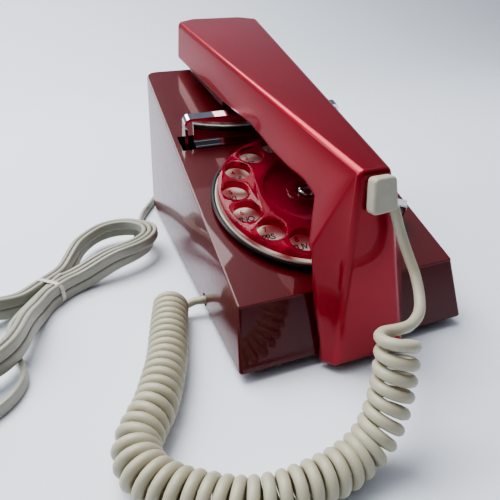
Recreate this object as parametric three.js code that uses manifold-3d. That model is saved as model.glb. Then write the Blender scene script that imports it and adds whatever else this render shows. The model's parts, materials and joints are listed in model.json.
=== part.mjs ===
// Slim wedge-shaped rotary telephone with a lengthwise handset, a coiled handset cord
// and a tied hank of line cord. Millimetres, +Z up, front towards -Y, +X to the phone's right.
import * as THREE from "three";
import { mergeVertices } from "three/addons/utils/BufferGeometryUtils.js";
import Module from "manifold-3d";

// ---- driving dimensions -------------------------------------------------------------------
const TOP_WIDTH = 102;            // flat top of the case
const FOOT_WIDTH = 108.1;         // case at its lower edge
const FRONT_TOP = [-90, 30.8];    // y, z of the case's front upper edge
const BACK_TOP = [83.8, 99.7];    // y, z of the case's back upper edge
const FRONT_LOW_Y = -97.6;
const BACK_LOW_Y = 109.2;
const CASE_LOW_Z = 4;
const WALL = 2.6;
const GAP = 0.3;

const DIAL_S = 52.2;              // dial centre, up the slope from the front edge
const CUP_R = 41.5;
const FLANGE_R = 45.2;
const WHEEL_R = 42.3;
const WHEEL_LOW = 4.3;
const WHEEL_TOP = 8.5;
const HOLE_R = 6.6;
const HOLE_RING = 34.3;
const HOLE_STEP = 24.6;           // degrees between finger holes
const HOLE_FIRST = 72;            // the hole for 1
const STOP_ANGLE = -30;

const SLOT_S = [102.7, 115.4];    // cradle slot, along the slope
const SLOT_HALF = 47.7;
const CRADLE_TOP = 13.6;          // above the case's top

const HANDSET_EDGE = 2.2;         // rounding along its long edges
const LEG_LOW_Y = -107.2;         // front face of its leg, at the foot
const LEG_LEAN = 0.1;             // and how far that face leans back per mm of height
const WIRE_D = 4;
const COIL_D = 14.6;
const LINE_D = 5;
const HANK = [-126, -1.5];        // where the folded line cord is tied
const TIE_ANGLE = 48;
const VOLUME_WHEEL = [36, 82];    // x, y of the ringer loudness wheel

// ---- solids -------------------------------------------------------------------------------
const wasm = await Module();
wasm.setup();

const slope = Math.atan2(BACK_TOP[1] - FRONT_TOP[1], BACK_TOP[0] - FRONT_TOP[0]);
const rad = (deg) => (deg * Math.PI) / 180;

function solid(geometry) {
  let plain = geometry.clone();
  plain.deleteAttribute("normal");
  plain.deleteAttribute("uv");
  plain = mergeVertices(plain, 1e-4);
  const mesh = new wasm.Mesh({
    numProp: 3,
    vertProperties: new Float32Array(plain.attributes.position.array),
    triVerts: new Uint32Array(plain.index.array),
  });
  return new wasm.Manifold(mesh);
}

function geometryOf(body) {
  const mesh = body.getMesh();
  const geometry = new THREE.BufferGeometry();
  geometry.setAttribute("position", new THREE.BufferAttribute(mesh.vertProperties, 3));
  geometry.setIndex(new THREE.BufferAttribute(mesh.triVerts, 1));
  geometry.computeVertexNormals();
  return geometry;
}

function box(x0, x1, y0, y1, z0, z1) {
  const geometry = new THREE.BoxGeometry(x1 - x0, y1 - y0, z1 - z0);
  geometry.translate((x0 + x1) / 2, (y0 + y1) / 2, (z0 + z1) / 2);
  return solid(geometry);
}

// Cylinder standing on z, or lying along x or y.
function rod(r, from, to, a, b, along = "z", sides = 16) {
  const geometry = new THREE.CylinderGeometry(r, r, to - from, sides);
  const mid = (from + to) / 2;
  if (along === "x") {
    geometry.rotateZ(Math.PI / 2);
    geometry.translate(mid, a, b);
  } else if (along === "y") {
    geometry.translate(a, mid, b);
  } else {
    geometry.rotateX(Math.PI / 2);
    geometry.translate(a, b, mid);
  }
  return solid(geometry);
}

// Turned piece about z, from a closed outline of [radius, height] pairs.
function turned(outline, sides = 40) {
  const points = outline.map(([r, h]) => new THREE.Vector2(r, h));
  points.push(points[0].clone());
  const geometry = new THREE.LatheGeometry(points, sides);
  geometry.rotateX(Math.PI / 2);
  let body = solid(geometry);
  if (body.volume() < 0) {
    const index = geometry.index.array;
    for (let i = 0; i < index.length; i += 3) {
      [index[i], index[i + 1]] = [index[i + 1], index[i]];
    }
    body = solid(geometry);
  }
  return body;
}

function outlineShape(points) {
  const shape = new THREE.Shape();
  shape.moveTo(points[0][0], points[0][1]);
  for (const [u, v] of points.slice(1)) {
    shape.lineTo(u, v);
  }
  shape.closePath();
  return shape;
}

// Polygon in (y, z), given a thickness across x between two planes.
function sidewise(points, x0, x1) {
  const geometry = new THREE.ExtrudeGeometry(outlineShape(points), {
    depth: x1 - x0, bevelEnabled: false,
  });
  geometry.applyMatrix4(new THREE.Matrix4().set(0, 0, 1, x0, 1, 0, 0, 0, 0, 1, 0, 0, 0, 0, 0, 1));
  return solid(geometry);
}

// Points round a rectangle's corners, each with its own radius.
function roundedOutline(corners, steps = 3) {
  const out = [];
  const count = corners.length;
  for (let i = 0; i < count; i += 1) {
    const [x, y, r] = corners[i];
    const before = corners[(i + count - 1) % count];
    const after = corners[(i + 1) % count];
    const a = new THREE.Vector2(before[0] - x, before[1] - y).normalize();
    const b = new THREE.Vector2(after[0] - x, after[1] - y).normalize();
    const half = Math.acos(Math.max(-1, Math.min(1, a.dot(b)))) / 2;
    if (!r) {
      out.push([x, y]);
      continue;
    }
    const reach = r / Math.tan(half);
    const centre = a.clone().add(b).normalize().multiplyScalar(r / Math.sin(half));
    const start = a.clone().multiplyScalar(reach).sub(centre).angle();
    const end = b.clone().multiplyScalar(reach).sub(centre).angle();
    let sweep = end - start;
    if (sweep > Math.PI) sweep -= 2 * Math.PI;
    if (sweep < -Math.PI) sweep += 2 * Math.PI;
    for (let k = 0; k <= steps; k += 1) {
      const angle = start + (sweep * k) / steps;
      out.push([x + centre.x + r * Math.cos(angle), y + centre.y + r * Math.sin(angle)]);
    }
  }
  return out;
}

// Solid along a smooth line of points.
function tube(points, diameter, sides, steps) {
  const curve = new THREE.CatmullRomCurve3(points.map((p) => new THREE.Vector3(...p)));
  const section = new THREE.Shape();
  section.absarc(0, 0, diameter / 2, 0, 2 * Math.PI, false);
  const geometry = new THREE.ExtrudeGeometry(section, {
    steps, curveSegments: sides / 2, bevelEnabled: false, extrudePath: curve,
  });
  return solid(geometry);
}

// ---- placing ------------------------------------------------------------------------------
const group = new THREE.Group();
group.name = "telephone";

function add(name, body, colour, roughness, metalness = 0, extra = {}) {
  const material = new THREE.MeshStandardMaterial({ color: colour, roughness, metalness, ...extra });
  material.name = name;
  const mesh = new THREE.Mesh(geometryOf(body), material);
  mesh.name = name;
  group.add(mesh);
  return body;
}

// The top's own frame: x across, y up the slope from the front edge, z along its normal.
const onTop = new THREE.Matrix4()
  .makeTranslation(0, FRONT_TOP[0], FRONT_TOP[1])
  .multiply(new THREE.Matrix4().makeRotationX(slope));
const onDial = onTop.clone().multiply(new THREE.Matrix4().makeTranslation(0, DIAL_S, 0));

function placed(body, matrix) {
  return body.transform(matrix.elements.slice());
}

// Turns a body standing at the origin into place on the dial, at an angle round its centre.
function atDial(body, angle = 0, radius = 0) {
  const turn = new THREE.Matrix4().makeRotationZ(rad(angle));
  const step = new THREE.Matrix4().makeTranslation(radius, 0, 0);
  return placed(body, onDial.clone().multiply(turn).multiply(step));
}

const RED = "#8e0f1c";
const HANDSET_RED = "#a3202e";
const BLACK = "#121214";
const STEEL = "#b9bbbd";
const BRASS = "#b8923f";
const CHROME = "#d8dadc";
const BEIGE = "#b9b5a8";
const GREY = "#9c9c97";

// ---- case ---------------------------------------------------------------------------------
// One moulded wedge, drafted outwards to its lower edge, its corners rounder at the back.
function wedge(inset, lowZ, edge) {
  const half = FOOT_WIDTH / 2 - inset;
  const front = FRONT_LOW_Y + inset;
  const back = BACK_LOW_Y - inset;
  const outline = roundedOutline([
    [-half, front, 1.5], [half, front, 1.5], [half, back, 7], [-half, back, 7],
  ]);
  const depth = 100;
  const geometry = new THREE.ExtrudeGeometry(outlineShape(outline), {
    depth, steps: 1, bevelEnabled: true, bevelThickness: edge, bevelSize: edge,
    bevelOffset: -edge, bevelSegments: 2,
  });
  const place = geometry.attributes.position;
  const nrm = new THREE.Vector3(0, -Math.sin(slope), Math.cos(slope));
  const topHalf = TOP_WIDTH / 2 - inset;
  const topFront = FRONT_TOP[0] + inset;
  const topBack = BACK_TOP[0] - inset;
  for (let i = 0; i < place.count; i += 1) {
    const u = place.getX(i);
    const v = place.getY(i);
    const w = place.getZ(i);
    const x = (u / half) * topHalf;
    const y = topFront + ((v - front) / (back - front)) * (topBack - topFront);
    const plane = FRONT_TOP[1] + (y - FRONT_TOP[0]) * Math.tan(slope) - inset / Math.cos(slope);
    if (w >= depth - 0.01) {
      const lift = w - depth - edge;
      place.setXYZ(i, x + nrm.x * lift, y + nrm.y * lift, plane + nrm.z * lift);
    } else {
      place.setXYZ(i, u, v, lowZ + Math.max(0, w + edge));
    }
  }
  return solid(geometry);
}

const outer = wedge(0, CASE_LOW_Z, 1);
let cover = outer.subtract(wedge(WALL, 0, 0.8));
const posts = [[-43, -84], [43, -84], [-43, 96], [43, 96]];
for (const [x, y] of posts) {
  cover = cover.add(rod(4, 5.5, 90, x, y).intersect(outer));
  cover = cover.subtract(rod(1.8, 5, 20, x, y, "z", 16));
}
cover = cover.subtract(placed(rod(CUP_R + GAP, -8, 8, 0, 0, "z", 48), onDial));
cover = cover.subtract(placed(box(-SLOT_HALF, SLOT_HALF, SLOT_S[0], SLOT_S[1], -8, 8), onTop));
cover = cover.subtract(rod(3.4, -60, -45, -45, 8.6, "x", 20));
cover = cover.subtract(rod(4.4, 100, 120, -34, 12, "y", 20));
add("base_cover", cover, RED, 0.18);

// ---- base plate, feet, screws and ringer loudness wheel ------------------------------------
const plateShape = outlineShape(roundedOutline([
  [-50.6, -92, 2], [50.6, -92, 2], [50.6, 104.6, 8], [-50.6, 104.6, 8],
]));
const plateGeometry = new THREE.ExtrudeGeometry(plateShape, { depth: 2, bevelEnabled: false });
plateGeometry.translate(0, 0, 3.2);
let plate = solid(plateGeometry);
for (const [x, y] of posts) {
  plate = plate.subtract(rod(1.8, 2, 6, x, y, "z", 16));
}
for (const [x, y] of [[-34, -14], [34, -14], [-34, 34], [34, 34]]) {
  plate = plate.add(rod(3, 4.5, 8.7, x, y, "z", 16));
}
const [WHEEL_X, WHEEL_Y] = VOLUME_WHEEL;
plate = plate.subtract(box(WHEEL_X - 2.2, WHEEL_X + 2.2, WHEEL_Y - 11, WHEEL_Y + 11, 2, 6));
for (const side of [-1, 1]) {
  const near = WHEEL_X + side * 2.2;
  const far = WHEEL_X + side * 4;
  let ear = box(Math.min(near, far), Math.max(near, far), WHEEL_Y - 3.5, WHEEL_Y + 3.5, 4.5, 15);
  ear = ear.subtract(rod(1.8, WHEEL_X - 6, WHEEL_X + 6, WHEEL_Y, 11.6, "x", 16));
  plate = plate.add(ear);
}
add("base_plate", plate, "#4a4a48", 0.55, 0.3);

const feet = [[-40, -72], [40, -72], [-40, 84], [40, 66]];
feet.forEach(([x, y], i) => {
  add(`foot_${i + 1}`, rod(7, 0, 2.9, x, y), "#5c5b57", 0.85);
});
posts.forEach(([x, y], i) => {
  let screw = rod(1.5, 2.4, 16, x, y, "z", 12).add(rod(3.1, 0.9, 2.8, x, y, "z", 20));
  screw = screw.subtract(box(x - 4, x + 4, y - 0.4, y + 0.4, 0.5, 1.6));
  add(`case_screw_${i + 1}`, screw, STEEL, 0.35, 1);
});
const volume = rod(10, WHEEL_X - 1.6, WHEEL_X + 1.6, WHEEL_Y, 11.6, "x", 32)
  .add(rod(1.5, WHEEL_X - 4, WHEEL_X + 4, WHEEL_Y, 11.6, "x", 12));
add("volume_wheel", volume, BLACK, 0.5);

// ---- dial ---------------------------------------------------------------------------------
// The cup's flange stands proud of the case, undercut below, and carries the number plate.
add("dial_cup", placed(turned([
  [24, -16], [CUP_R, -16], [CUP_R, 0.4], [FLANGE_R - 0.6, 1.4], [FLANGE_R, 2.0],
  [FLANGE_R, 3.1], [43.9, 3.1], [43.9, 1.9], [40.1, -0.3], [40.1, -14.4], [24, -14.4],
], 48), onDial), BLACK, 0.4);

add("number_plate", placed(turned([
  [8.5, 0.4], [40.4, 0.4], [43.4, 2.1], [43.4, 2.6], [43.1, 3.2], [42.6, 3.2], [41, 1.8], [8.5, 1.8],
], 48), onDial), "#cfcabd", 0.32);

let frame = turned([[8.5, -2], [39.8, -2], [39.8, -0.4], [8.5, -0.4]], 32);
for (const angle of [20, 140, 250]) {
  const away = [35 * Math.cos(rad(angle)), 35 * Math.sin(rad(angle))];
  frame = frame.add(rod(2.5, -14.1, -1, ...away, "z", 12));
}
add("dial_frame", placed(frame, onDial), "#8f9193", 0.4, 1);

let wheel = turned([
  [2.4, 3.8], [20, 3.8], [21.6, WHEEL_LOW], [41.3, WHEEL_LOW], [WHEEL_R, 5.2],
  [WHEEL_R, 7.5], [41.4, WHEEL_TOP], [22.8, WHEEL_TOP], [21.4, 8.1], [20.2, 6.2],
  [9.8, 5.8], [9.2, 6.6], [5.6, 6.6], [5.2, 5.8], [2.4, 5.8],
], 48);
for (let i = 0; i < 10; i += 1) {
  const angle = rad(HOLE_FIRST + i * HOLE_STEP);
  wheel = wheel.subtract(
    rod(HOLE_R, 2, 10, HOLE_RING * Math.cos(angle), HOLE_RING * Math.sin(angle), "z", 20),
  );
}
add("finger_wheel", placed(wheel, onDial), "#c4142f", 0.08, 0, { transparent: true, opacity: 0.45 });

let centre = turned([
  [0, -4], [2, -4], [2, 6.1], [4.2, 6.1], [4.2, 7.4], [3.4, 8.1], [0, 8.1],
], 20);
centre = centre.subtract(box(-5, 5, -0.5, 0.5, 7, 9));
add("wheel_screw", placed(centre, onDial), CHROME, 0.12, 1);

const hub = rod(8, -12.6, 3.4, 0, 0, "z", 24).subtract(rod(2.4, -4.5, 5, 0, 0, "z", 16));
add("dial_hub", placed(hub, onDial), BRASS, 0.35, 1);
const gear = turned([[8.3, -5.2], [24, -5.2], [24, -3.6], [8.3, -3.6]], 32);
add("dial_gear", placed(gear, onDial), BRASS, 0.35, 1);
const spring = turned([[8.6, -10], [15, -10], [15, -6], [8.6, -6]], 24);
add("return_spring", placed(spring, onDial), STEEL, 0.4, 1);

// Pinion, shaft and impulse cam turn together beside the dial gear.
const cam = rod(5, -5.4, -3.4, 0, 0, "z", 20)
  .add(rod(1.5, -13, -2.3, 0, 0, "z", 12))
  .add(rod(6.5, -10.4, -8.6, 2, 0, "z", 24));
add("impulse_cam", atDial(cam, -60, 29.4), BRASS, 0.35, 1);
add("impulse_contacts", placed(box(27, 32, -21, -9, -12.5, -6.5), onDial), "#3a2c22", 0.6);

// Governor: worm, shaft and drum lie across the dial behind the gear's rim.
const governor = rod(1.2, -16, 19, 26.6, -6.6, "x", 12)
  .add(rod(2, -3, 3, 26.6, -6.6, "x", 16))
  .add(rod(4, 9, 17, 26.6, -6.6, "x", 20));
add("governor", placed(governor, onDial), BRASS, 0.35, 1);

// Bent strip that stands outside the wheel and reaches over its holes.
const stop = box(45.6, 46.8, -2.6, 2.6, 0.3, 10.6).add(box(29, 46.8, -2.6, 2.6, 9.5, 10.6));
add("finger_stop", atDial(stop, STOP_ANGLE), CHROME, 0.12, 1);

// ---- cradle -------------------------------------------------------------------------------
// Stamped bracket: a strip across the top with a leg down each end, and a stepped web
// between the legs whose foot closes the front of the slot.
const t = 1.4;
const arch = new THREE.Shape();
const half = 44.9;
arch.moveTo(-half, -9);
arch.lineTo(-half, CRADLE_TOP - 3);
arch.absarc(-half + 3, CRADLE_TOP - 3, 3, Math.PI, Math.PI / 2, true);
arch.lineTo(half - 3, CRADLE_TOP);
arch.absarc(half - 3, CRADLE_TOP - 3, 3, Math.PI / 2, 0, true);
arch.lineTo(half, -9);
arch.lineTo(half - t, -9);
arch.lineTo(half - t, CRADLE_TOP - 3);
arch.absarc(half - 3, CRADLE_TOP - 3, 3 - t, 0, Math.PI / 2, false);
arch.lineTo(-half + 3, CRADLE_TOP - t);
arch.absarc(-half + 3, CRADLE_TOP - 3, 3 - t, Math.PI / 2, Math.PI, false);
arch.lineTo(-half + t, -9);
arch.closePath();
const archGeometry = new THREE.ExtrudeGeometry(arch, { depth: 10, bevelEnabled: false, curveSegments: 5 });
archGeometry.rotateX(Math.PI / 2);
archGeometry.translate(0, 115.1, 0);
let strip = solid(archGeometry);
const trim = sidewise([
  [100, -12], [107.2, -12], [107.2, 1], [110.3, CRADLE_TOP + 1], [100, CRADLE_TOP + 1],
], -60, 60);
strip = strip.subtract(trim);
const web = sidewise(roundedOutline([
  [114.9, CRADLE_TOP, 0], [110.4, CRADLE_TOP, 1.6], [108.3, 1, 0.8], [103.3, 1, 1.2],
  [103.3, -6, 0], [104.7, -6, 0], [104.7, -0.4, 0.4], [109.6, -0.4, 0.8],
  [111.6, CRADLE_TOP - t, 0.4], [114.9, CRADLE_TOP - t, 0],
]), -40.2, 40.2);
add("cradle_bracket", placed(strip.add(web), onTop), CHROME, 0.06, 1);

add("cradle_lever", placed(
  box(-44.6, 44.6, 107.4, 113.6, -12.6, -9.3).add(box(-7, 7, 108, 113, -17.5, -12)), onTop,
), BLACK, 0.5);

let guide = box(-48.2, 48.2, 100.9, 117.2, -21, -2.9);
guide = guide.subtract(box(-46.4, 46.4, 102.5, 115.6, -19.4, -2));
guide = guide.subtract(box(-8, 8, 107, 114, -22, -18));
guide = guide.intersect(placed(wedge(WALL + 0.4, CASE_LOW_Z, 0.8), onTop.clone().invert()));
add("cradle_guide", placed(guide, onTop), BLACK, 0.5);
add("hook_switch", placed(box(-16, 16, 105, 115, -31, -21.3), onTop), "#3a2c22", 0.6);

// ---- circuit and ringer -------------------------------------------------------------------
add("circuit_board", box(-40, 40, -18, 38, 9, 10.6), "#5b6b3a", 0.6);
add("induction_coil", box(-30, -6, -12, 16, 10.9, 29), "#6b5a45", 0.6);
add("capacitor", rod(7, -10, 22, 16, 18.2, "y", 24), "#c9c2a8", 0.5);
add("terminal_block", box(-36, 4, 22, 32, 10.9, 19), "#2b2b2b", 0.55);

let ringer = box(-36, 14, 42, 94, 5.5, 7.5);
ringer = ringer.add(rod(2.4, 7, 62, 0, 60, "z", 16));
ringer = ringer.add(rod(1.2, 7, 46, -32, 82.5, "z", 12));
add("ringer_frame", ringer, "#9a9c9e", 0.4, 1);
add("ringer_gong", turned([
  [2.8, 59], [12, 58.4], [22, 54.5], [27, 49], [27.6, 43], [29, 43], [28.5, 50],
  [23, 56.2], [12.3, 60.2], [2.8, 60.6],
], 28).translate(0, 60, 0), BRASS, 0.3, 1);
add("ringer_coil", box(-24, 12, 44, 56.5, 7.8, 24).add(box(-24, -16, 50, 72, 7.8, 20)), "#6d2f22", 0.5);
const clapper = rod(3, 30, 44, -32, 82.5, "z", 20)
  .add(box(-32, 1.2, 81.3, 83.7, 36, 38.4))
  .add(rod(1.2, 37, 46, 0, 82.5, "z", 12))
  .add(rod(3.5, 43.5, 49, 0, 82.5, "z", 20))
  .subtract(rod(1.5, 25, 50, -32, 82.5, "z", 16));
add("ringer_clapper", clapper, STEEL, 0.35, 1);

// ---- handset ------------------------------------------------------------------------------
// Two leaning side planes meet the long top facet and the front leg. Half-width is a plane
// in y and z along the handle, and swells a little down the leg.
function sideAt(y, z) {
  const plane = 18.8 + 0.1407 * (y + 90) - 0.1376 * z;
  const leg = Math.min(1, Math.max(0, (-80 - y) / 8));
  const low = Math.min(1, Math.max(0, (66 - z) / 14));
  const front = LEG_LOW_Y + (z - 3) * LEG_LEAN;
  const swell = z > 15 ? 2.6 * Math.sin((Math.PI * (z - 15)) / 68) : 0;
  return plane + leg * (Math.max(0, swell) + low * 0.5 * Math.max(0, y - front));
}

function slab(points, inset, edge, segments = 3) {
  const nominal = 30;
  const geometry = new THREE.ExtrudeGeometry(outlineShape(points), {
    depth: 2 * (nominal - edge), steps: 1, bevelEnabled: true, bevelThickness: edge,
    bevelSize: edge, bevelOffset: -edge, bevelSegments: segments,
  });
  const place = geometry.attributes.position;
  for (let i = 0; i < place.count; i += 1) {
    const y = place.getX(i);
    const z = place.getY(i);
    const across = place.getZ(i) - (nominal - edge);
    const reach = sideAt(y, z) - inset - (nominal - Math.abs(across));
    place.setXYZ(i, Math.sign(across) * reach, y, z);
  }
  return solid(geometry);
}

const shellSide = roundedOutline([
  [99.4, 129.8, 3.4], [-99.2, 82.6, 2.8], [LEG_LOW_Y, 3, 3], [-99, 2.6, 2.6], [-97.6, 11, 0],
  [-93.2, 28.5, 0], [-89.2, 50, 6], [-73, 65.5, 7], [-65, 69.3, 0], [-52.7, 71.2, 6],
  [-38.8, 74.9, 8], [-15.4, 83, 20], [14, 88.3, 8], [90.4, 106.8, 3.2],
]);
let shell = slab(shellSide, 0, HANDSET_EDGE);
// The ear end is bowed in plan.
const bow = roundedOutline([
  [-60, -120, 0], [60, -120, 0], [60, 66, 0], [26.5, 87, 7], [0, 101.4, 34], [-26.5, 87, 7],
  [-60, 66, 0],
], 8);
const bowGeometry = new THREE.ExtrudeGeometry(outlineShape(bow), { depth: 160, bevelEnabled: false });
shell = shell.intersect(solid(bowGeometry));
// Hollow along its length, open below at the ear end and at the mouth's lower end.
const hollowSide = [
  [76, 121], [-96.2, 79.8], [-103.8, 1], [-102, 1], [-100.2, 11], [-95.8, 28.5], [-91.8, 50.5],
  [-75.5, 67.6], [-64, 72.2], [-40, 78], [-16, 85.6], [12, 91.4], [20, 93], [20, 84], [76, 96],
];
shell = shell.subtract(slab(hollowSide, 2.8, 0.4, 1));
// Seat for the cord boot in the waist.
const seatFrame = new THREE.Matrix4().makeTranslation(0, -100.2, 74.4)
  .multiply(new THREE.Matrix4().makeRotationX(Math.PI / 2 - rad(4.9)));
shell = shell.subtract(placed(box(-4.2, 4.2, -4.9, 4.1, -2.4, 6), seatFrame));
add("handset_shell", shell, HANDSET_RED, 0.2);

// Ear cap: the closing piece under the wide end, with the listening holes.
const capSide = roundedOutline([
  [75, 102.6, 0], [72.5, 99.1, 3], [24, 85.2, 5], [21, 89.6, 0], [21, 97.5, 0], [75, 111, 0],
]);
let cap = slab(capSide, 3.2, 0.8, 1);
const earFrame = new THREE.Matrix4().makeTranslation(0, 46, 91.8)
  .multiply(new THREE.Matrix4().makeRotationX(rad(16.3)));
for (let i = 0; i < 6; i += 1) {
  const angle = rad(60 * i);
  cap = cap.subtract(placed(rod(1.4, -5, 5.2, 6 * Math.cos(angle), 6 * Math.sin(angle), "z", 12), earFrame));
}
cap = cap.subtract(placed(rod(17.4, 3.2, 20, 0, 0, "z", 40), earFrame));
add("ear_cap", cap, "#7c0f1a", 0.3);
add("receiver_capsule", placed(rod(17, 3.5, 14.5, 0, 0, "z", 40), earFrame), "#a9abac", 0.35, 1);

// Transmitter sits in the handle, and the hollow leg carries the voice up to it.
const handleFrame = new THREE.Matrix4().makeTranslation(0, -52, 84)
  .multiply(new THREE.Matrix4().makeRotationX(rad(13.6)));
add("transmitter_capsule", placed(rod(7.6, -3.5, 2.2, 0, 0, "z", 32), handleFrame), "#a9abac", 0.35, 1);
const mouth = slab(roundedOutline([
  [-102.7, 9, 0], [-103, 6, 0], [-101.4, 6, 0], [-100.9, 9, 0],
]), 3.4, 0.1, 1);
add("mouth_grille", mouth, BLACK, 0.5);

// ---- handset cord -------------------------------------------------------------------------
// Moulded boot, a straight lead, the coil hanging and then lying on the floor, and a short
// tail into the side of the case.
const bootShape = outlineShape(roundedOutline([
  [-4.6, 6.6, 1.8], [4.4, 6.6, 1.8], [5.8, -6.4, 1.8], [-5, -7, 1.8],
]));
const bootGeometry = new THREE.ExtrudeGeometry(bootShape, {
  depth: 3.1, bevelEnabled: true, bevelThickness: 1.2, bevelSize: 1.2, bevelOffset: -1.2, bevelSegments: 2,
}).translate(0, 0, 1.55);
const boot = placed(solid(bootGeometry).add(box(-3.9, 3.9, -4.6, 3.8, -2.1, 2.4)), seatFrame);
add("cord_boot", boot, BEIGE, 0.6);

add("handset_cord_lead", tube([
  [5.9, -105.6, 65.4], [6.6, -106.4, 62], [7.8, -108.2, 57], [8.8, -111.4, 51.4],
  [9.2, -115.6, 46], [7.2, -121.6, 41], [3, -127.6, 38.4], [-2, -132.2, 38], [-5.4, -134.4, 38.6],
], WIRE_D, 8, 24), BEIGE, 0.55);

const coilPath = [
  [-14.2, -138.5, 42], [-15.2, -140.8, 36.5], [-17, -143, 29.5], [-19.6, -145.4, 22.5],
  [-23.4, -147.5, 16], [-28.4, -149.2, 10.8], [-34.5, -150.6, 8.2], [-41, -152, 7.6],
  [-50, -153.2, 7.6], [-60, -153.4, 7.6], [-71, -151.4, 7.6], [-81, -146, 7.6],
  [-90, -139.6, 7.6], [-96.4, -131, 7.6], [-97.6, -122, 7.6], [-94.4, -114.6, 7.6],
  [-89, -106, 7.6], [-84, -94, 7.6], [-79.4, -82, 7.6], [-75.4, -68, 7.6],
  [-71.4, -54, 7.6], [-67.4, -41, 7.6],
];
add("handset_cord_coil", tube(coilPath, COIL_D, 10, 44), BEIGE, 0.55);

add("handset_cord_tail", tube([
  [-51.2, -45, 8.6], [-54, -45, 8.6], [-57, -45, 8.6], [-59.4, -44.8, 8.5],
], WIRE_D, 8, 6), BEIGE, 0.55);

// ---- line cord ----------------------------------------------------------------------------
add("cord_grommet", placed(turned([
  [2.9, -3], [4.1, -3], [4.1, 4.2], [5.4, 4.2], [5.2, 6], [3.7, 12], [2.9, 12],
], 16), new THREE.Matrix4().makeTranslation(-34, 106.4, 12)
  .multiply(new THREE.Matrix4().makeRotationX(-Math.PI / 2))), GREY, 0.65);

add("line_cord_run", tube([
  [-34, 104, 12], [-34, 112, 12], [-34, 119, 11.9], [-34.4, 124.4, 10.4], [-36.4, 129, 7.6],
  [-40, 131.6, 4.8], [-44.4, 129.4, 3], [-48.2, 123.6, 2.6], [-51.8, 115.6, 2.6],
  [-56, 106.5, 2.6], [-60.4, 97.6, 2.6], [-64.4, 89.6, 2.6], [-68, 81.6, 2.6],
], LINE_D, 8, 28), GREY, 0.5);

// Hank: the cord folded to and fro and held by a tie at its waist, so each half is a lobe.
function lobe(angle, length, width) {
  const shape = outlineShape(roundedOutline([
    [-4, -8.6, 0], [8, -8.6, 0], [length * 0.5, -width, 12], [length, -width, width * 0.95],
    [length, width, width * 0.95], [length * 0.5, width, 12], [8, 8.6, 0], [-4, 8.6, 0],
  ], 4));
  const geometry = new THREE.ExtrudeGeometry(shape, { depth: 17.4, bevelEnabled: false });
  geometry.rotateZ(rad(angle));
  geometry.translate(HANK[0], HANK[1], 0.1);
  return solid(geometry);
}

const tieFrame = new THREE.Matrix4().makeTranslation(HANK[0], HANK[1], 0)
  .multiply(new THREE.Matrix4().makeRotationZ(rad(TIE_ANGLE)));
const waist = placed(box(-3.5, 3.5, -8, 8, 1.9, 10.4), tieFrame);
const cutWaist = placed(box(-2.5, 2.5, -30, 30, -1, 20), tieFrame);
const hank = lobe(42, 76, 22).add(lobe(232, 78, 24)).subtract(cutWaist).add(waist);
add("line_cord_hank", hank, GREY, 0.5);
const tie = box(-2.1, 2.1, -9.7, 9.7, 0.3, 12).subtract(box(-4, 4, -8.3, 8.3, 1.6, 10.7));
add("cord_tie", placed(tie, tieFrame), "#dcdbd6", 0.4);

add("line_cord_end", tube([
  [-136.4, -58, 2.6], [-135.8, -62.5, 2.6], [-136.6, -69, 2.6], [-140, -76, 2.6], [-146, -81.6, 2.6],
  [-153, -84.6, 2.6], [-160, -85.6, 2.7],
], LINE_D, 8, 12), GREY, 0.5);

// Four-pin telephone plug, lying on its broad side.
let plug = box(-189, -161, -96, -74, 0.1, 15).subtract(box(-190, -184, -97, -92, -1, 16));
plug = plug.add(rod(4.2, -164, -160.6, -85.6, 4.6, "x", 16));
for (const y of [-91, -79]) {
  for (const z of [4, 11]) {
    plug = plug.subtract(rod(1.8, -190, -183, y, z, "x", 12));
  }
}
add("line_plug", plug, "#3b3a38", 0.45);
[[-91, 4], [-79, 4], [-91, 11], [-79, 11]].forEach(([y, z], i) => {
  add(`plug_pin_${i + 1}`, rod(1.5, -198, -183.6, y, z, "x", 12), BRASS, 0.25, 1);
});

export default group;
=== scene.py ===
"""Slim wedge-shaped rotary telephone with a lengthwise handset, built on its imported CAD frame."""

import json
import math

import bpy
from mathutils import Matrix, Vector


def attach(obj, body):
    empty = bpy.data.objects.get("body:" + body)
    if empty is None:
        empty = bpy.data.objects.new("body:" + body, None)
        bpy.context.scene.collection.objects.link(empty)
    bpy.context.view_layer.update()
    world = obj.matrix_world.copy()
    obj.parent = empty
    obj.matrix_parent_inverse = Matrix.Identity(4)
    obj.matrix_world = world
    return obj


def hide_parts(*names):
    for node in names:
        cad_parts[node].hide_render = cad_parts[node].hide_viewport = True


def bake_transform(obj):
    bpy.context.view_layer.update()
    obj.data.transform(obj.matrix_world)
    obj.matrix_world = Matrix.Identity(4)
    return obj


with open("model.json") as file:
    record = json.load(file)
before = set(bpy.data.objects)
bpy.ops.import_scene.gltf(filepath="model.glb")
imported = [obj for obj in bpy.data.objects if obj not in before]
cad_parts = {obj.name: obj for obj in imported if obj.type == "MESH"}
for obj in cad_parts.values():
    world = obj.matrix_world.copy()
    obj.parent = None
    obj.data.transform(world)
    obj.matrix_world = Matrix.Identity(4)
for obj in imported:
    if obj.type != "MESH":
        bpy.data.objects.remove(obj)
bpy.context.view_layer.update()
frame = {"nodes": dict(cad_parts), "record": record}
MM = 0.001

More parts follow.
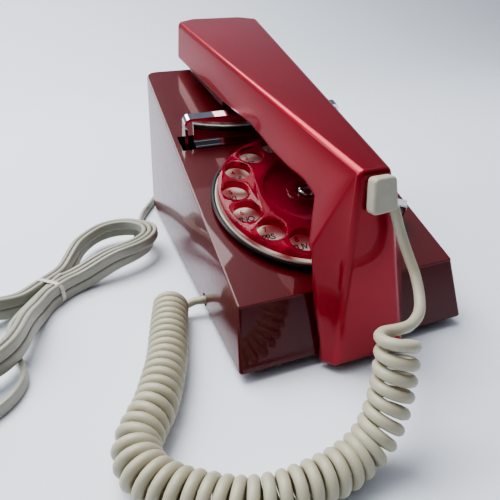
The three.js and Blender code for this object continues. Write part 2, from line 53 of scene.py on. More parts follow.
# ---- camera -------------------------------------------------------------------------------
# Hand-held close view from the front left and above, with a very slight roll. A little extra
# contrast keeps the dark lacquer deep against the pale table.
CAMERA_AT = Vector((-95.82, -236.25, 135.59)) * MM
AZIMUTH, ELEVATION, ROLL = (math.radians(a) for a in (-19.043, 27.379, -1.960))
bpy.ops.object.select_all(action="DESELECT")
bpy.ops.object.camera_add()
camera = bpy.context.object
camera.name = "camera"
camera.data.lens = 34.158
camera.data.sensor_width = 36
camera.data.clip_start = 0.01
camera.matrix_world = (
    Matrix.Translation(CAMERA_AT)
    @ Matrix.Rotation(AZIMUTH, 4, "Z")
    @ Matrix.Rotation(math.pi / 2 - ELEVATION, 4, "X")
    @ Matrix.Rotation(ROLL, 4, "Z")
)
bpy.context.scene.camera = camera
bpy.context.scene.view_settings.look = "AgX - Medium High Contrast"


# ---- case ---------------------------------------------------------------------------------
# The wedge-shaped cover is one ABS moulding, sprayed dark red and clear-coated, so it mirrors
# its surroundings through a faint orange peel. Four screws from below hold it to its plate.
def rgb(code):
    """sRGB hex to linear colour."""
    parts = [int(code[i : i + 2], 16) / 255 for i in (1, 3, 5)]
    return [c / 12.92 if c <= 0.04045 else ((c + 0.055) / 1.055) ** 2.4 for c in parts] + [1]


def add_node(material, kind, settings=(), links=()):
    """A node with its settings (sockets by name or number, else properties) and its links."""
    made = material.node_tree.nodes.new(kind)
    for key, value in dict(settings).items():
        if isinstance(key, int) or key in made.inputs:
            made.inputs[key].default_value = value
        else:
            setattr(made, key, value)
    for key, source in dict(links).items():
        material.node_tree.links.new(source, made.inputs[key])
    return made


def finish(name, light, dark, rough, grain, bump, cloud=18, coords="Object", **more):
    """A surface whose colour drifts between two tones over cloud mm and whose fine grain,
    in mm, lifts the surface by bump mm and varies the gloss. More sets the shader's sockets."""
    material = bpy.data.materials.new(name)
    material.use_nodes = True
    material.node_tree.nodes.clear()
    place = add_node(material, "ShaderNodeTexCoord").outputs[coords]
    drift = add_node(
        material, "ShaderNodeTexNoise", {"Scale": 1000 / cloud, "Detail": 5}, {"Vector": place}
    )
    tone = add_node(
        material, "ShaderNodeMix", {"data_type": "RGBA", 6: rgb(dark), 7: rgb(light)},
        {0: drift.outputs["Fac"]},
    )
    fine = add_node(
        material, "ShaderNodeTexNoise", {"Scale": 1000 / grain, "Detail": 3}, {"Vector": place}
    )
    gloss = add_node(
        material, "ShaderNodeMapRange", {"To Min": rough * 0.8, "To Max": rough * 1.2},
        {"Value": fine.outputs["Fac"]},
    )
    relief = add_node(
        material, "ShaderNodeBump", {"Strength": 1, "Distance": bump * MM},
        {"Height": fine.outputs["Fac"]},
    )
    shader = add_node(
        material, "ShaderNodeBsdfPrincipled", more,
        {
            "Base Color": tone.outputs[2],
            "Roughness": gloss.outputs["Result"],
            "Normal": relief.outputs["Normal"],
        },
    )
    out = add_node(
        material, "ShaderNodeOutputMaterial", {}, {"Surface": shader.outputs["BSDF"]}
    )
    out.name = "out"
    return material


in_body = {
    node: body for body, nodes in frame["record"]["behaviour"]["bodies"].items() for node in nodes
}
in_slot = {part["node"]: part["material_slot"] for part in frame["record"]["subparts"]}


def settle(piece, node, surface):
    """A finished piece takes its finish, and the place in the assembly of that CAD node."""
    piece.data.materials.clear()
    piece.data.materials.append(surface)
    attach(piece, in_body[node])


def pick(piece):
    """Selects one piece alone, and makes it the active one."""
    bpy.ops.object.select_all(action="DESELECT")
    piece.select_set(True)
    bpy.context.view_layer.objects.active = piece


def add_piece(name, data):
    """A new piece of that mesh or curve, in the scene and picked."""
    piece = bpy.data.objects.new(name, data)
    bpy.context.scene.collection.objects.link(piece)
    pick(piece)
    return piece


def weld(gap, flat=0):
    """Joins the picked mesh's points within gap mm, makes faces within flat degrees of one
    plane a single face, and turns every face outward."""
    bpy.ops.object.mode_set(mode="EDIT")
    bpy.ops.mesh.select_all(action="SELECT")
    bpy.ops.mesh.remove_doubles(threshold=gap * MM)
    if flat:
        bpy.ops.mesh.dissolve_limited(angle_limit=math.radians(flat))
    bpy.ops.mesh.normals_make_consistent(inside=False)
    bpy.ops.object.mode_set(mode="OBJECT")


def round_edges(piece, width, sharp):
    """Rounds the picked piece's edges sharper than sharp degrees, by width mm."""
    rounding = piece.modifiers.new("rounding", "BEVEL")
    rounding.width = width * MM
    rounding.segments = 3
    rounding.limit_method = "ANGLE"
    rounding.angle_limit = math.radians(sharp)
    bpy.ops.object.modifier_apply(modifier=rounding.name)


def smoothed(node, name, surface, edge=0, sharp=38):
    """A CAD node's shape as a piece of its own: merged, its edges rounded by edge mm, and
    shaded so that its curves run smooth between edges sharper than sharp degrees."""
    piece = add_piece(name, frame["nodes"][node].data.copy())
    bpy.ops.mesh.customdata_custom_splitnormals_clear()
    weld(0.02, flat=0.6)
    if edge:
        round_edges(piece, edge, sharp)
    bpy.ops.object.shade_smooth_by_angle(angle=math.radians(sharp))
    even = piece.modifiers.new("even", "WEIGHTED_NORMAL")
    even.keep_sharp = True
    bpy.ops.object.modifier_apply(modifier=even.name)
    settle(piece, node, surface)
    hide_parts(node)
    return piece


case_lacquer = finish(
    "clear_coated_maroon_lacquer", "#5e0812", "#4c050d", 0.35, 2.6, 0.03, cloud=60,
    **{"Coat Weight": 0.55, "Coat Roughness": 0.03, "Specular IOR Level": 0.15, "IOR": 1.5},
)
smoothed("base_cover", "case", case_lacquer, sharp=30)
plate_abs = finish("moulded_grey_abs", "#4f4f4d", "#424240", 0.55, 0.8, 0.03, IOR=1.5)
smoothed("base_plate", "base_plate_piece", plate_abs, edge=0.3)

# ---- feet and screws ----------------------------------------------------------------------
# Four moulded rubber feet lift the plate off the table, and four zinc-plated screws with
# slotted heads come up through it. The rubber is dull and dusty.
foot_rubber = finish("moulded_grey_rubber", "#625f5a", "#4f4d49", 0.85, 0.7, 0.05, IOR=1.52)
zinc_steel = finish(
    "zinc_plated_steel", "#c3c5c6", "#a9abad", 0.34, 0.5, 0.006, cloud=6, Metallic=1.0
)
for number in range(1, 5):
    smoothed(f"foot_{number}", f"rubber_foot_{number}", foot_rubber, edge=0.6, sharp=50)
    smoothed(f"case_screw_{number}", f"screw_{number}", zinc_steel, edge=0.15)

# ---- dial cup and number plate ---------------------------------------------------------------
# A black moulded cup carries the mechanism; its flange stands a little proud of the case. The
# number plate is a moulded off-white disc with a raised rim, its characters printed on it. The
# dial's axis stands square to the case's sloping top, which runs from its front to its back.
FRONT_Y, FRONT_Z = -90, 30.8
BACK_Y, BACK_Z = 83.8, 99.7
DIAL_UP_SLOPE = 52.2
slope = math.atan2(BACK_Z - FRONT_Z, BACK_Y - FRONT_Y)
on_dial = (
    Matrix.Translation(Vector((0, FRONT_Y, FRONT_Z)) * MM)
    @ Matrix.Rotation(slope, 4, "X")
    @ Matrix.Translation(Vector((0, DIAL_UP_SLOPE, 0)) * MM)
)


TURNED_STEPS, TURNED_SHARP = 120, math.radians(34)


def turned(name, outline, place):
    """A ring turned on the lathe from a closed outline of (radius, height) in mm, then placed."""
    data = bpy.data.meshes.new(name)
    edges = [(i, (i + 1) % len(outline)) for i in range(len(outline))]
    data.from_pydata([(r * MM, 0, h * MM) for r, h in outline], edges, [])
    piece = add_piece(name, data)
    bpy.ops.object.mode_set(mode="EDIT")
    bpy.ops.mesh.select_all(action="SELECT")
    bpy.ops.mesh.spin(
        steps=TURNED_STEPS, angle=2 * math.pi, center=(0, 0, 0), axis=(0, 0, 1), dupli=False
    )
    bpy.ops.object.mode_set(mode="OBJECT")
    weld(0.005)
    piece.data.transform(place)
    bpy.ops.object.shade_smooth_by_angle(angle=TURNED_SHARP)
    return piece


black_abs = finish("moulded_black_abs", "#17171a", "#0e0e10", 0.3, 0.9, 0.012, IOR=1.5)
cup = turned("cup", [
    (24, -16), (41.4, -16), (41.5, 0.3), (44.4, 1.3), (44.9, 1.6), (45.2, 2.1), (45.2, 2.8),
    (44.9, 3.1), (44.2, 3.1), (43.9, 2.8), (43.9, 1.9), (40.1, -0.3), (40.1, -14.4), (24, -14.4),
], on_dial)
settle(cup, "dial_cup", black_abs)
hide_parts("dial_cup")
ivory_urea = finish(
    "moulded_ivory_urea", "#d9d3c6", "#cfc8b9", 0.26, 1.4, 0.004, cloud=25,
    **{"Coat Weight": 0.35, "Coat Roughness": 0.08, "IOR": 1.5},
)
plate = turned("plate", [
    (8.5, 0.4), (40.4, 0.4), (43.4, 2.1), (43.4, 2.7), (43.3, 3.0), (43.1, 3.2), (42.7, 3.2),
    (42.4, 3.0), (41.3, 1.9), (41, 1.8), (8.5, 1.8),
], on_dial)
settle(plate, "number_plate", ivory_urea)
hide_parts("number_plate")

# ---- printed characters ---------------------------------------------------------------------
# Letters are printed black under each finger hole, upright, and the digit above them red. The
# ink is one thin matt layer on the plate, in narrow capitals.
HOLE_RING, HOLE_FIRST, HOLE_STEP = 34.3, 72, 24.6
PRINT_LEVEL, NARROWING, CAPITAL_SHARE = 1.85, 0.9, 0.7
LETTERS = ["1", "ABC", "DEF", "GHI", "JKL", "MNO", "PRS", "TUV", "WXY", "0"]
black_ink = finish("black_print", "#1b1a1c", "#111113", 0.4, 0.4, 0.002, IOR=1.5)
red_ink = finish("red_print", "#b8202c", "#a31a26", 0.4, 0.4, 0.002, IOR=1.5)


def printed(name, words, height, spacing, ink):
    """Words at their places on the plate, in one thin printed layer. Places are in mm."""
    made = []
    for text, x, u in words:
        bpy.ops.object.select_all(action="DESELECT")
        bpy.ops.object.text_add()
        word = bpy.context.object
        word.data.body = text
        word.data.size = height / CAPITAL_SHARE * MM
        word.data.align_x = "CENTER"
        word.data.align_y = "CENTER"
        word.data.space_character = spacing
        word.data.offset = 0.00006
        word.data.extrude = 0.00002
        word.data.resolution_u = 6
        bpy.ops.object.convert(target="MESH")
        word = bpy.context.object
        word.data.transform(
            on_dial
            @ Matrix.Translation(Vector((x, u, PRINT_LEVEL)) * MM)
            @ Matrix.Scale(NARROWING, 4, (1, 0, 0))
        )
        made.append(word)
    bpy.ops.object.select_all(action="DESELECT")
    for word in made:
        word.select_set(True)
    bpy.context.view_layer.objects.active = made[0]
    bpy.ops.object.join()
    made[0].name = name
    settle(made[0], "number_plate", ink)


spots = []
for k, text in enumerate(LETTERS):
    turn = math.radians(HOLE_FIRST + k * HOLE_STEP)
    spots.append((text, HOLE_RING * math.cos(turn), HOLE_RING * math.sin(turn)))
letters = [(text, x, u + (1.2 if 0 < k < 9 else 3.0)) for k, (text, x, u) in enumerate(spots)]
digits = [(str(k + 1), x, u + 6.0) for k, (text, x, u) in enumerate(spots) if 0 < k < 9]
printed("black_letters", letters, 3.3, 0.86, black_ink)
printed("red_digits", digits, 2.9, 1, red_ink)

# ---- finger wheel ---------------------------------------------------------------------------
# Clear crimson acrylic, moulded and polished: a flat ring with ten finger holes round a dished
# centre with a boss. Clear plastic shows the plate through it, deep red, with pale glints.
crimson = bpy.data.materials.new("polished_crimson_acrylic")
crimson.use_nodes = True
crimson.node_tree.nodes.clear()
spot = add_node(crimson, "ShaderNodeTexCoord").outputs["Object"]
flow = add_node(crimson, "ShaderNodeTexNoise", {"Scale": 60, "Detail": 3}, {"Vector": spot})
through = add_node(
    crimson, "ShaderNodeMix", {"data_type": "RGBA", 6: rgb("#cf6a80"), 7: rgb("#da8294")},
    {0: flow.outputs["Fac"]},
)
scuffs = add_node(crimson, "ShaderNodeTexNoise", {"Scale": 900, "Detail": 4}, {"Vector": spot})
polish = add_node(
    crimson, "ShaderNodeMapRange", {"To Min": 0.03, "To Max": 0.1},
    {"Value": scuffs.outputs["Fac"]},
)
passing = add_node(crimson, "ShaderNodeBsdfTransparent", {}, {"Color": through.outputs[2]})
surface = add_node(
    crimson, "ShaderNodeBsdfPrincipled",
    {"Base Color": rgb("#b8143c"), "IOR": 1.49, "Coat Weight": 0.6, "Coat Roughness": 0.03},
    {"Roughness": polish.outputs["Result"]},
)
# Seen at a slant, the wheel shows more of its own surface and less of the plate.
rim = add_node(crimson, "ShaderNodeLayerWeight", {"Blend": 0.25})
share = add_node(
    crimson, "ShaderNodeMapRange", {"To Min": 0.2, "To Max": 0.8},
    {"Value": rim.outputs["Facing"]},
)
both = add_node(
    crimson, "ShaderNodeMixShader", {},
    {0: share.outputs["Result"], 1: passing.outputs["BSDF"], 2: surface.outputs["BSDF"]},
)
add_node(crimson, "ShaderNodeOutputMaterial", {}, {"Surface": both.outputs["Shader"]})
wheel = turned("clear_wheel", [
    (2.4, 3.8), (19.8, 3.8), (20.6, 3.95), (21.6, 4.3), (41.5, 4.3), (42.1, 4.6), (42.3, 5.1),
    (42.3, 7.7), (42.1, 8.2), (41.6, 8.5), (22.9, 8.5), (22.1, 8.45), (21.4, 8.2), (20.8, 7.4),
    (20.4, 6.5), (19.9, 6.15), (10.4, 5.8), (9.8, 5.9), (9.4, 6.4), (9.0, 6.6), (5.7, 6.6),
    (5.4, 6.4), (5.2, 5.8), (2.4, 5.8),
], Matrix.Identity(4))
HOLE_RADIUS, WHEEL_MIDDLE = 6.6, 6.4
bpy.ops.object.select_all(action="DESELECT")
bpy.ops.mesh.primitive_cylinder_add(vertices=56, radius=HOLE_RADIUS * MM, depth=12 * MM)
drill = bpy.context.object
drill.data.transform(Matrix.Translation(Vector((0, 0, WHEEL_MIDDLE)) * MM))
for k in range(len(LETTERS)):
    turn = Matrix.Rotation(math.radians(HOLE_FIRST + k * HOLE_STEP), 4, "Z")
    shift = turn @ Matrix.Translation((HOLE_RING * MM, 0, 0))
    drill.data.transform(shift)
    cut = wheel.modifiers.new("hole", "BOOLEAN")
    cut.object = drill
    cut.solver = "EXACT"
    pick(wheel)
    bpy.ops.object.modifier_apply(modifier=cut.name)
    drill.data.transform(shift.inverted())
bpy.data.objects.remove(drill)
bpy.ops.object.mode_set(mode="EDIT")
bpy.ops.mesh.select_all(action="SELECT")
bpy.ops.mesh.dissolve_limited(angle_limit=math.radians(0.5))
bpy.ops.object.mode_set(mode="OBJECT")
round_edges(wheel, 0.5, 60)
wheel.data.transform(on_dial)
bpy.ops.object.shade_smooth_by_angle(angle=TURNED_SHARP)
settle(wheel, "finger_wheel", crimson)
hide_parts("finger_wheel")

# ---- wheel screw and finger stop ------------------------------------------------------------
# A chromed slotted screw holds the wheel, and a bent chromed strip stops the finger.
chrome = finish("chrome_plate", "#e4e6e8", "#d5d8db", 0.07, 0.8, 0.001, cloud=40, Metallic=1.0)
smoothed("wheel_screw", "slotted_screw", chrome, edge=0.18, sharp=35)
smoothed("finger_stop", "stop", chrome, edge=0.4)

# ---- cradle ---------------------------------------------------------------------------------
# The bracket is stamped steel, bent and chromed; it stands on a black lever in a black guide
# that lines its slot.
smoothed("cradle_bracket", "bracket", chrome, edge=0.35, sharp=28)
smoothed("cradle_lever", "lever", black_abs, edge=0.3)
smoothed("cradle_guide", "guide", black_abs, edge=0.2)

# ---- handset --------------------------------------------------------------------------------
# One long ABS shell sprayed in a lighter red metallic and clear-coated: its fine flakes catch
# the light and turn pinkish in a glancing view. The closing cap under the ear is given a darker,
# non-metallic red than the shell: painted shade for the shade it lies in under the ear.
flake_lacquer = finish(
    "metallic_red_lacquer", "#9a1226", "#820c1c", 0.4, 0.35, 0.012, cloud=40,
    Metallic=0.75, **{"Coat Weight": 0.4, "Coat Roughness": 0.05, "IOR": 1.5},
)
smoothed("handset_shell", "shell", flake_lacquer, sharp=32)
# Painted shade: this lacquer's darker red stands in for the shade that falls on the cap under the
# ear.
ear_cap_lacquer_with_painted_shade = finish(
    "dark_red_lacquer_painted_shade", "#5a0010", "#48000a", 0.25, 1.2, 0.004, cloud=30,
    **{"Coat Weight": 0.5, "Coat Roughness": 0.04, "IOR": 1.5},
)
smoothed("ear_cap", "cap", ear_cap_lacquer_with_painted_shade, edge=0.5, sharp=40)
smoothed("mouth_grille", "grille", black_abs)

# ---- cord boot ------------------------------------------------------------------------------
# A soft PVC boot moulded on the cord and pressed into its seat. The PVC has yellowed to a warm
# grey and has fine dark specks of dirt in its surface.
boot_pvc = finish(
    "speckled_pvc_boot", "#bdb9a8", "#a39f8c", 0.5, 0.6, 0.03, cloud=3,
    **{"Subsurface Weight": 0.1, "Subsurface Radius": (0.003, 0.002, 0.002),
       "Subsurface Scale": 0.3, "IOR": 1.52},
)
smoothed("cord_boot", "boot", boot_pvc, edge=0.3, sharp=50)

# ---- handset cord -------------------------------------------------------------------------
# One PVC-jacketed round cord, moulded into the boot at the handset: a straight lead, a long
# coil wound on a mandrel, and a short tail through the case's left wall. It hangs from the
# boot and lies on the table. The plasticised PVC has a soft sheen and has yellowed a little.
def smooth_line(points, step):
    """Points about step apart on a Catmull-Rom curve through given ones."""
    knots = [points[0] * 2 - points[1], *points, points[-1] * 2 - points[-2]]
    line = []
    for a, b, c, d in zip(knots, knots[1:], knots[2:], knots[3:]):
        parts = max(1, round((c - b).length / step))
        for i in range(parts):
            t = i / parts
            line.append(
                0.5 * (2 * b + (c - a) * t + (2 * a - 5 * b + 4 * c - d) * t**2
                       + (3 * b - a - 3 * c + d) * t**3)
            )
    line.append(points[-1])
    return line


def cord_mesh(name, line, radius=0, profile=None):
    """A tube or a ribbon of that profile along a line of points, as a mesh."""
    data = bpy.data.curves.new(name, "CURVE")
    data.dimensions = "3D"
    data.twist_mode = "Z_UP" if profile else "MINIMUM"
    data.use_fill_caps = True
    if profile:
        data.bevel_mode = "OBJECT"
        data.bevel_object = profile
    else:
        data.bevel_depth = radius
        data.bevel_resolution = 3
    spline = data.splines.new("POLY")
    spline.points.add(len(line) - 1)
    for knot, point in zip(spline.points, line):
        knot.co = (*point, 1)
    piece = add_piece(name, data)
    bpy.ops.object.convert(target="MESH")
    weld(0.01)
    bpy.ops.object.shade_smooth_by_angle(angle=math.radians(60))
    return piece


WIRE = 4.0
TURN_HANGING, TURN_LYING = 5.4, 6.6
PITCH_HANGING, PITCH_LYING = 5.3, 4.35
TURN_STEPS = 20
lead_points = [
    (5.2, -104.0, 69.2), (5.9, -105.4, 65.4), (6.6, -106.4, 62), (7.8, -108.2, 57),
    (8.8, -111.4, 51.4), (9.2, -115.6, 46), (7.2, -121.6, 41), (3, -127.2, 38.6),
    (-3.2, -131.2, 38.2), (-9, -133.2, 39.4),
]
coil_points = [
    (-14.2, -138.5, 42), (-15.2, -140.8, 36.5), (-17, -143, 29.5), (-19.6, -145.4, 22.5),
    (-23.4, -147.5, 16), (-28.4, -149.2, 10.8), (-34.5, -150.6, 8.2), (-41, -152, 7.6),
    (-50, -153.2, 7.6), (-60, -153.4, 7.6), (-71, -151.4, 7.6), (-81, -146, 7.6),
    (-90, -139.6, 7.8), (-96.4, -131, 8), (-97.6, -122, 8.2), (-94.4, -114.6, 8.4),
    (-89, -106, 8.6), (-84, -94, 8.7), (-79.8, -82, 8.7), (-76.4, -68, 8.7),
    (-73.0, -54, 8.7), (-69.6, -41, 8.7),
]
tail_points = [(-58.8, -43.6, 8.0), (-56.4, -44.8, 8.6), (-53.6, -45, 8.6), (-50.4, -45, 8.6)]


def metres(points):
    return [Vector(p) * MM for p in points]


def helix(axis, start):
    """Left-hand turns round a line of points: stretched where it hangs, and slacker turns,
    closer together, towards its far end."""
    away, angle, turns = (Vector((1, 0, 0)), start, [])
    whole = sum((b - a).length for a, b in zip(axis, axis[1:]))
    done = 0
    for here, ahead in zip(axis, axis[1:]):
        along = (ahead - here).normalized()
        away = (away - along * away.dot(along)).normalized()
        out = away * math.cos(angle) - along.cross(away) * math.sin(angle)
        relaxed = min(1, max(0, (done / whole - 0.35) / 0.3))
        radius = (TURN_HANGING + (TURN_LYING - TURN_HANGING) * relaxed) * MM
        turns.append(here + out * radius)
        step = (ahead - here).length
        slack = math.exp(-done / (0.2 * whole))
        pitch = (PITCH_LYING + (PITCH_HANGING - PITCH_LYING) * slack) * MM
        angle += 2 * math.pi * step / pitch
        done += step
    return turns


axis_step = PITCH_LYING * MM / TURN_STEPS
coil_axis = smooth_line(metres(coil_points), axis_step)
coil_turns = helix(coil_axis, math.radians(112))
# The last turn is cut back to where the wire lies low and towards the case, to lead to its hole.
while (
    coil_turns[-1].z > 7 * MM
    or coil_turns[-1].x < coil_axis[len(coil_turns) - 1].x + 0.88 * TURN_LYING * MM
):
    coil_turns.pop()
# The lead runs into the first turn along the turn's own direction.
lead_line = smooth_line([*metres(lead_points), coil_turns[0], coil_turns[4]], 0.9 * MM)
lead_line = [p for p in lead_line if (p - coil_turns[0]).length > 0.8 * MM][:-6]
tail_line = smooth_line([coil_turns[-1], *metres(tail_points)], 1.2 * MM)
handset_line = lead_line + coil_turns + tail_line[1:]
handset_cord = cord_mesh("handset_cord", handset_line, radius=WIRE / 2 * MM)
cord_pvc = finish(
    "yellowed_pvc_jacket", "#c2bda8", "#aea890", 0.42, 1.1, 0.02, cloud=9,
    **{"Subsurface Weight": 0.12, "Subsurface Radius": (0.004, 0.003, 0.002),
       "Subsurface Scale": 0.4, "IOR": 1.52},
)
handset_cord.data.materials.append(cord_pvc)
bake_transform(handset_cord)
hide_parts("handset_cord_lead", "handset_cord_coil", "handset_cord_tail")

# ---- line cord ----------------------------------------------------------------------------
# Flat four-core telephone line cord, extruded grey PVC with a groove down each broad side.
# It leaves a grommet low in the back, and its spare length is folded to and fro on edge in
# two layers and tied at the waist. Its free end runs to the plug.
FLAT_WIDTH, FLAT_THICK = 5.6, 3.0
LAYER_LOW, LAYER_HIGH = 2.9, 8.7
NEST = 3.3
HANK_AT = Vector((-126, -1.5, 0))
NEAR_LOBE = dict(angle=42, length=76, width=22)
FAR_LOBE = dict(angle=232, length=78, width=24)
WAIST = 6.6


def ease(t):
    t = min(1, max(0, t))
    return t * t * (3 - 2 * t)


def lobe_loop(lobe, nest, layer, window):
    """One strand round a lobe, from its +b side to its -b side. nest and layer are what they
    are at its start and its end, and change over the window."""
    turn = math.radians(lobe["angle"])
    along = Vector((math.cos(turn), math.sin(turn), 0))
    aside = Vector((-math.sin(turn), math.cos(turn), 0))
    points = []
    for i in range(33):
        t = i / 32
        change = ease((t - window[0]) / (window[1] - window[0]))
        n = nest[0] + (nest[1] - nest[0]) * change
        width = lobe["width"] - NEST * n
        straight = lobe["length"] - lobe["width"]
        offset = WAIST - NEST * n
        if t < 0.36 or t > 0.64:
            part = (t if t < 0.5 else 1 - t) / 0.36
            a = 5 + (straight - 5) * part
            b = offset + (width - offset) * ease(part)
            b = b if t < 0.5 else -b
        else:
            swing = math.pi * (0.5 - (t - 0.36) / 0.28)
            a = straight + width * math.cos(swing)
            b = width * math.sin(swing)
        z = layer[0] + (layer[1] - layer[0]) * change
        z += FLAT_WIDTH * ease((a - 12) / 26)
        points.append(HANK_AT + along * a + aside * b + Vector((0, 0, z)))
    return points


run_points = [
    (-34, 106, 12), (-34, 112, 12), (-34, 119, 11.9), (-34.4, 124.4, 10.6), (-36.4, 128.6, 8),
    (-40, 130.6, 5.4), (-44.4, 128.6, 3.6), (-48.2, 123.2, 2.9), (-51.8, 115.6, 2.9),
    (-56, 106.5, 2.9), (-60.4, 97.6, 2.9), (-64.4, 88.6, 2.9), (-67.6, 78, 2.9),
    (-70.4, 66, 2.9), (-73.4, 54, 2.9), (-77.6, 42, 2.9), (-83, 32, 2.9), (-90.4, 23.4, 2.9),
    (-100, 15.4, 2.9), (-110, 8.4, 2.9),
]
end_points = [
    (-141.4, -25, 5.4), (-142.6, -36, 3.4), (-141, -46, 2.9), (-137.8, -54, 2.9),
    (-135.8, -62.5, 2.9), (-136.6, -69, 2.9), (-140, -76, 2.9), (-146, -81.6, 2.9),
    (-153, -84.6, 3.6), (-160.4, -85.6, 4.6),
]
low, high = LAYER_LOW, LAYER_HIGH
route = [Vector(p) for p in run_points]
laps = [
    (FAR_LOBE, (1, 1), (low, low), (0.4, 0.6)),
    (NEAR_LOBE, (1, 0), (low, low), (0.6, 0.85)),
    (FAR_LOBE, (0, 0), (low, low), (0.4, 0.6)),
    (NEAR_LOBE, (0, 0), (low, high), (0.35, 0.6)),
    (FAR_LOBE, (0, 0), (high, high), (0.4, 0.6)),
    (NEAR_LOBE, (0, 1), (high, high), (0.1, 0.35)),
    (FAR_LOBE, (1, 1), (high, high), (0.4, 0.6)),
    (NEAR_LOBE, (1, 2), (high, high), (0.1, 0.35)),
]
for lap in laps:
    route += lobe_loop(*lap)
route += [Vector(p) for p in end_points]
line_route = smooth_line([p * MM for p in route], 1.6 * MM)

# The ribbon's section: two rounded halves with a shallow groove between them.
bpy.ops.object.select_all(action="DESELECT")
bpy.ops.curve.primitive_bezier_circle_add(radius=1)
section = bpy.context.object
section.data.resolution_u = 4
half_thick, half_width = FLAT_THICK / 2 * MM, FLAT_WIDTH / 2 * MM
section.data.splines.clear()
outline = section.data.splines.new("POLY")
outline.points.add(23)
for i, knot in enumerate(outline.points):
    swing = 2 * math.pi * i / 24
    u = math.copysign(abs(math.cos(swing)) ** 0.55, math.cos(swing))
    v = math.copysign(abs(math.sin(swing)) ** 0.75, math.sin(swing))
    groove = 0.16 * math.exp(-((v / 0.16) ** 2))
    knot.co = (half_thick * u * (1 - groove), half_width * v, 0, 1)
outline.use_cyclic_u = True
line_cord = cord_mesh("line_cord", line_route, profile=section)
bpy.data.objects.remove(section)
line_pvc = finish(
    "grey_pvc_jacket", "#aeada0", "#98978a", 0.38, 0.9, 0.015, cloud=12,
    **{"Subsurface Weight": 0.08, "Subsurface Radius": (0.003, 0.003, 0.003),
       "Subsurface Scale": 0.4, "IOR": 1.52},
)
line_cord.data.materials.append(line_pvc)

# ---- pieces on the line cord ----------------------------------------------------------------
# A grey rubber grommet leads the cord out of the case. A thin white nylon tie holds the hank,
# and the free end has a black moulded four-pin telephone plug with brass pins.
grommet_rubber = finish("moulded_cord_rubber", "#9f9f99", "#8b8b86", 0.6, 0.8, 0.03, IOR=1.52)
smoothed("cord_grommet", "grommet", grommet_rubber, edge=0.3, sharp=50)
tie_nylon = finish(
    "white_nylon", "#dddad0", "#cfccc2", 0.35, 0.7, 0.01, cloud=5,
    **{"Subsurface Weight": 0.2, "Subsurface Radius": (0.002, 0.002, 0.002),
       "Subsurface Scale": 0.3, "IOR": 1.53},
)
TIE_ANGLE, TIE_WIDTH, TIE_THICK = math.radians(48), 2.5, 0.9
TIE_HALF_SPAN, TIE_HALF_HEIGHT, TIE_MIDDLE = 8.9, 5.4, 6.15
loop = bpy.data.curves.new("tie", "CURVE")
loop.dimensions = "2D"
loop.fill_mode = "NONE"
loop.extrude = (TIE_WIDTH - TIE_THICK) / 2 * MM
loop.bevel_depth = TIE_THICK / 2 * MM
loop.bevel_resolution = 3
around = loop.splines.new("POLY")
around.points.add(47)
for i, knot in enumerate(around.points):
    swing = 2 * math.pi * i / 48
    across = math.copysign(abs(math.cos(swing)) ** 0.5, math.cos(swing))
    upward = math.copysign(abs(math.sin(swing)) ** 0.5, math.sin(swing))
    knot.co = (
        TIE_HALF_SPAN * across * MM, (TIE_MIDDLE + TIE_HALF_HEIGHT * upward) * MM, 0, 1
    )
around.use_cyclic_u = True
tie = add_piece("tie", loop)
bpy.ops.object.convert(target="MESH")
tie = bpy.context.object
tie.data.transform(
    Matrix.Translation(HANK_AT * MM)
    @ Matrix.Rotation(TIE_ANGLE, 4, "Z")
    @ Matrix.Rotation(math.pi / 2, 4, "Z")
    @ Matrix.Rotation(math.pi / 2, 4, "X")
)
weld(0.005)
bpy.ops.object.shade_smooth_by_angle(angle=math.radians(40))
settle(tie, "cord_tie", tie_nylon)
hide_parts("cord_tie")
plug_abs = finish("moulded_dark_plug", "#3d3c3a", "#32312f", 0.42, 0.8, 0.02, IOR=1.5)
smoothed("line_plug", "plug", plug_abs, edge=0.9, sharp=50)
brass = finish("machined_brass", "#c9a35a", "#b38f48", 0.28, 0.4, 0.004, cloud=5, Metallic=1.0)
for number in range(1, 5):
    smoothed(f"plug_pin_{number}", f"pin_{number}", brass, edge=0.4, sharp=50)
# The line cord is part of the case's body, and its tie, plug and pins now lie along it.
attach(line_cord, "base")
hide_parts("line_cord_run", "line_cord_hank", "line_cord_end")

# ---- inside the case ------------------------------------------------------------------------
# The dial's brass and steel works, the circuit board with its coil and capacitor, the bell and
# the capsules: turned, pressed or wound parts, which show only where something is lifted off.
pressed_zinc = finish("pressed_zinc_steel", "#9da0a2", "#878a8c", 0.4, 0.6, 0.01, Metallic=1.0)
drawn_aluminium = finish("drawn_aluminium", "#b4b6b8", "#9fa1a3", 0.35, 0.4, 0.006, Metallic=1.0)
phenolic = finish("brown_phenolic", "#46342a", "#34261d", 0.55, 0.6, 0.02, cloud=4, IOR=1.55)
laminate = finish("pressed_paper_laminate", "#66733f", "#55623a", 0.5, 0.5, 0.01, cloud=3, IOR=1.5)
winding = finish("varnished_winding", "#7a4a34", "#5b3526", 0.4, 0.3, 0.06, cloud=2, IOR=1.5)
waxed = finish("waxed_paper", "#cdc6ac", "#bcb497", 0.5, 1.0, 0.02, cloud=6, IOR=1.45)
inner_finish = {
    "pressed_steel": pressed_zinc, "capsule_aluminium": drawn_aluminium,
    "contact_block": phenolic, "board_laminate": laminate, "wound_coil": winding,
    "capacitor_wrap": waxed, "machined_brass": brass, "screw_steel": zinc_steel,
    "terminal_black": black_abs, "black_moulding": black_abs,
}
# Whatever no finished piece has taken the place of yet gets its own, by the material it is of.
for node, slot_name in in_slot.items():
    shown = not frame["nodes"][node].hide_render
    if shown and slot_name in inner_finish:
        smoothed(node, f"{node}_piece", inner_finish[slot_name], edge=0.2, sharp=40)

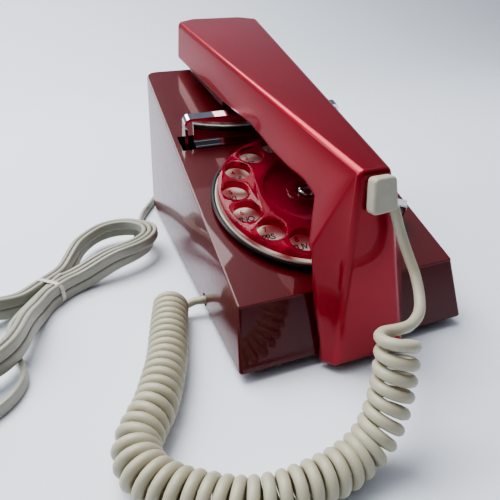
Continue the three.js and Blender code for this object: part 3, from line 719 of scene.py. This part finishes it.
# ---- table and light ----------------------------------------------------------------------
# A pale cool paper sweep, curved up at the back, lit softly from above and the left. The room
# is bright behind and above and dark in front, so the lacquer mirrors a broad gradient.
bpy.ops.object.select_all(action="DESELECT")
bpy.ops.mesh.primitive_plane_add(size=6, location=(0, -1.6, 0))
floor = bpy.context.object
floor.name = "floor"
floor.data.transform(Matrix.Translation(floor.location))
floor.location = (0, 0, 0)
bpy.ops.object.mode_set(mode="EDIT")
bpy.ops.mesh.select_all(action="DESELECT")
bpy.ops.object.mode_set(mode="OBJECT")
for edge in floor.data.edges:
    edge.select = all(floor.data.vertices[v].co.y > 1 for v in edge.vertices)
bpy.ops.object.mode_set(mode="EDIT")
bpy.ops.mesh.select_mode(type="EDGE")
bpy.ops.mesh.extrude_region_move(TRANSFORM_OT_translate={"value": (0, 0.05, 3)})
bpy.ops.object.mode_set(mode="OBJECT")
curl = floor.modifiers.new("curl", "BEVEL")
curl.width = 0.9
curl.segments = 24
curl.limit_method = "ANGLE"
bpy.ops.object.modifier_apply(modifier=curl.name)
bpy.ops.object.shade_smooth()
sweep = finish("matt_paper_sweep", "#eef3fb", "#e9eff8", 0.6, 1.5, 0.01, cloud=300)
floor.data.materials.append(sweep)
world = bpy.context.scene.world or bpy.data.worlds.new("studio")
bpy.context.scene.world = world
world.use_nodes = True
room = add_node(world, "ShaderNodeTexCoord").outputs["Generated"]
bearing = add_node(
    world, "ShaderNodeVectorMath", {"operation": "DOT_PRODUCT", 1: (0, 0.75, 0.65)}, {0: room}
)
window = add_node(
    world, "ShaderNodeMapRange", {"From Min": -0.05, "From Max": 0.95, "To Min": 0, "To Max": 1},
    {"Value": bearing.outputs["Value"]},
)
walls = add_node(
    world, "ShaderNodeMix", {"data_type": "RGBA", 6: rgb("#3c3f45"), 7: rgb("#f3f7ff")},
    {0: window.outputs["Result"]},
)
background = world.node_tree.nodes["Background"]
background.inputs["Strength"].default_value = 1.15
world.node_tree.links.new(walls.outputs[2], background.inputs["Color"])
for name, size, power, spot, aim in (
    ("softbox_top", 0.9, 21, (-0.3, 0.42, 1.15), (0, 0, 0)),
    ("softbox_left", 0.6, 4, (-1.0, 0.35, 0.7), (0, 0, 0.05)),
):
    bpy.ops.object.light_add(type="AREA", location=spot)
    lamp = bpy.context.object
    lamp.name = name
    lamp.data.size = size
    lamp.data.energy = power
    lamp.rotation_euler = (Vector(aim) - Vector(spot)).to_track_quat("-Z", "Y").to_euler()
